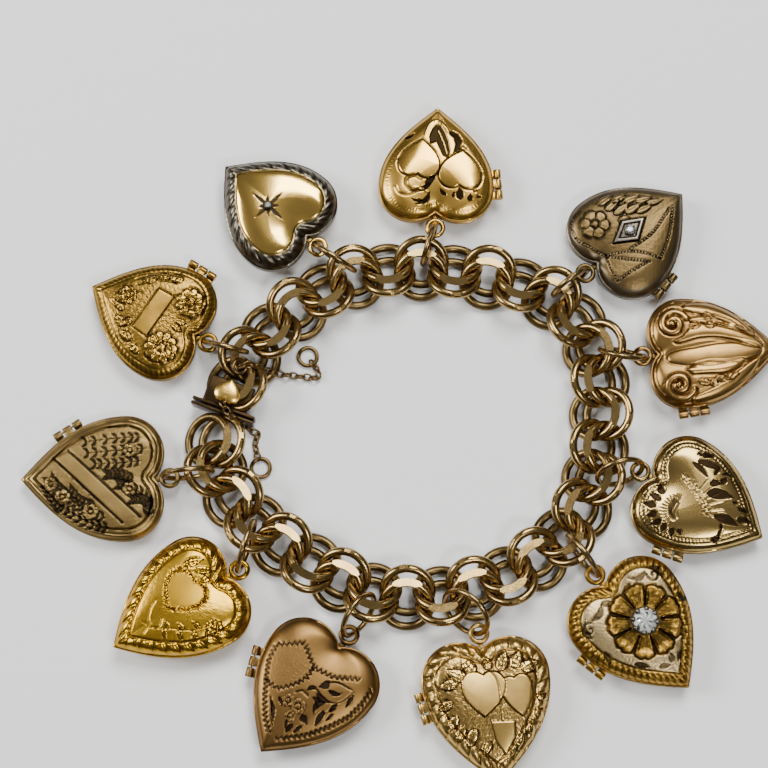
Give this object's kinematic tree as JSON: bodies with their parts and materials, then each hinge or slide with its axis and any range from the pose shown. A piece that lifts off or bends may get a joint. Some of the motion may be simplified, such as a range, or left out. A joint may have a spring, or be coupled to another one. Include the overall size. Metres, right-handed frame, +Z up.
{
  "type": "charm bracelet",
  "caption": "Charm bracelet: a twin-ring curb chain lying in a loop with engraved heart lockets on jump rings, a box clasp and fine safety chains.",
  "frame": {"origin": "under the middle of the bracelet as it lies, on the surface it lies on", "axes": "+Z up, +X along its longest extent, the clasp towards -X"},
  "size_m": [0.1222, 0.1102, 0.0095],
  "materials": {
    "chain_gold": "antique, worn bright on the flats",
    "clasp_gold": "antique",
    "thumb_gold": "polished",
    "jump_ring_gold": "antique",
    "heart_a": "bright, engraved",
    "heart_c": "satin with raised rosettes",
    "heart_d": "matt antique",
    "heart_f": "satin, engraved",
    "heart_g": "satin, embossed",
    "heart_h": "pale ground with dark petals and a clear stone",
    "heart_i": "satin, engraved",
    "heart_j": "matt, embossed",
    "heart_k": "dark antique with a white metal lozenge and a clear stone",
    "heart_b": "bright with a grey rim",
    "heart_e": "bright, embossed",
    "safety_chain_gold": "polished"
  },
  "bodies": {
    "bracelet": {"chain_bottom": "chain_gold", "chain_top": "chain_gold", "clasp_box": "clasp_gold", "clasp_tongue": "thumb_gold", "jump_ring_a": "jump_ring_gold", "jump_ring_b": "jump_ring_gold", "jump_ring_c": "jump_ring_gold", "jump_ring_d": "jump_ring_gold", "jump_ring_e": "jump_ring_gold", "jump_ring_f": "jump_ring_gold", "jump_ring_g": "jump_ring_gold", "jump_ring_h": "jump_ring_gold", "jump_ring_i": "jump_ring_gold", "jump_ring_j": "jump_ring_gold", "jump_ring_k": "jump_ring_gold", "locket_back_a": "heart_a", "locket_back_c": "heart_c", "locket_back_d": "heart_d", "locket_back_f": "heart_f", "locket_back_g": "heart_g", "locket_back_h": "heart_h", "locket_back_i": "heart_i", "locket_back_j": "heart_j", "locket_back_k": "heart_k", "puffed_heart_b": "heart_b", "puffed_heart_e": "heart_e", "safety_chain_lower": "safety_chain_gold", "safety_chain_upper": "safety_chain_gold"},
    "cover_a": {"locket_cover_a": "heart_a"},
    "cover_c": {"locket_cover_c": "heart_c"},
    "cover_d": {"locket_cover_d": "heart_d"},
    "cover_f": {"locket_cover_f": "heart_f"},
    "cover_g": {"locket_cover_g": "heart_g"},
    "cover_h": {"locket_cover_h": "heart_h"},
    "cover_i": {"locket_cover_i": "heart_i"},
    "cover_j": {"locket_cover_j": "heart_j"},
    "cover_k": {"locket_cover_k": "heart_k"}
  },
  "joints": [
    {"name": "hinge_a", "type": "hinge", "parent": "bracelet", "child": "cover_a", "pos_m": [0.01589, 0.04201, 0.0028], "axis": [-0.0735, 0.9973, 0], "range_deg": [0, 100]},
    {"name": "hinge_c", "type": "hinge", "parent": "bracelet", "child": "cover_c", "pos_m": [-0.0326, 0.02744, 0.0027], "axis": [-0.8431, 0.5377, 0], "range_deg": [0, 100]},
    {"name": "hinge_d", "type": "hinge", "parent": "bracelet", "child": "cover_d", "pos_m": [-0.05394, 0.00094, 0.0022], "axis": [-0.8385, -0.5449, 0], "range_deg": [0, 100]},
    {"name": "hinge_f", "type": "hinge", "parent": "bracelet", "child": "cover_f", "pos_m": [-0.02357, -0.03621, 0.0027], "axis": [-0.2721, -0.9623, 0], "range_deg": [0, 100]},
    {"name": "hinge_g", "type": "hinge", "parent": "bracelet", "child": "cover_g", "pos_m": [0.00303, -0.04368, 0.0027], "axis": [0.2922, -0.9563, 0], "range_deg": [0, 100]},
    {"name": "hinge_h", "type": "hinge", "parent": "bracelet", "child": "cover_h", "pos_m": [0.02961, -0.03725, 0.0028], "axis": [0.7778, -0.6285, 0], "range_deg": [0, 100]},
    {"name": "hinge_i", "type": "hinge", "parent": "bracelet", "child": "cover_i", "pos_m": [0.0421, -0.01933, 0.0028], "axis": [0.942, -0.3357, 0], "range_deg": [0, 92]},
    {"name": "hinge_j", "type": "hinge", "parent": "bracelet", "child": "cover_j", "pos_m": [0.04712, 0.0036, 0.0027], "axis": [0.989, 0.1482, 0], "range_deg": [0, 100]},
    {"name": "hinge_k", "type": "hinge", "parent": "bracelet", "child": "cover_k", "pos_m": [0.0431, 0.02469, 0.0027], "axis": [0.6481, 0.7616, 0], "range_deg": [0, 100]}
  ]
}
